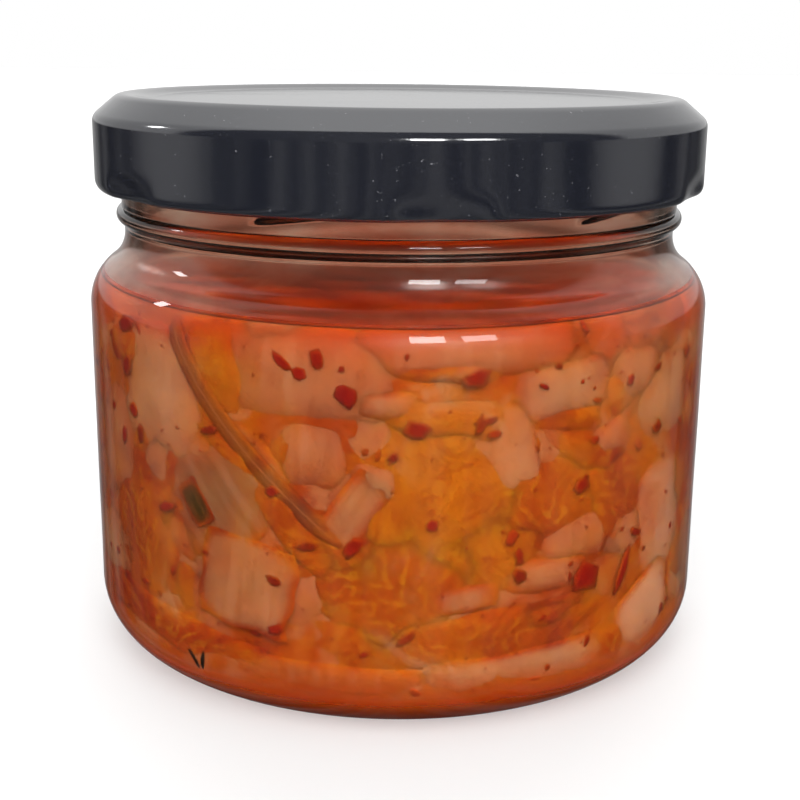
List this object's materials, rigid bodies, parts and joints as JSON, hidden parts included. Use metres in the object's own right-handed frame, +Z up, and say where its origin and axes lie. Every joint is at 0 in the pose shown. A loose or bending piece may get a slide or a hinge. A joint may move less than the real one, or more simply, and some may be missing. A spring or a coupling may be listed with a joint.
{
  "type": "kimchi jar",
  "caption": "Wide squat glass jar with a rounded shoulder and a black twist-off metal lid, filled with pickled cabbage in red brine.",
  "frame": {"origin": "middle of the base, on the surface that the jar stands on", "axes": "+Z up along the jar's axis; -Y is the side that the picture shows"},
  "size_m": [0.0886, 0.0884, 0.078],
  "materials": {
    "glass": "clear, smooth, faintly green at its edges",
    "lid_paint": "glossy black lacquer on tinplate",
    "contents": "wet, translucent"
  },
  "bodies": {
    "root": {"jar": "glass", "lid": "lid_paint", "kimchi": "contents"}
  },
  "joints": []
}
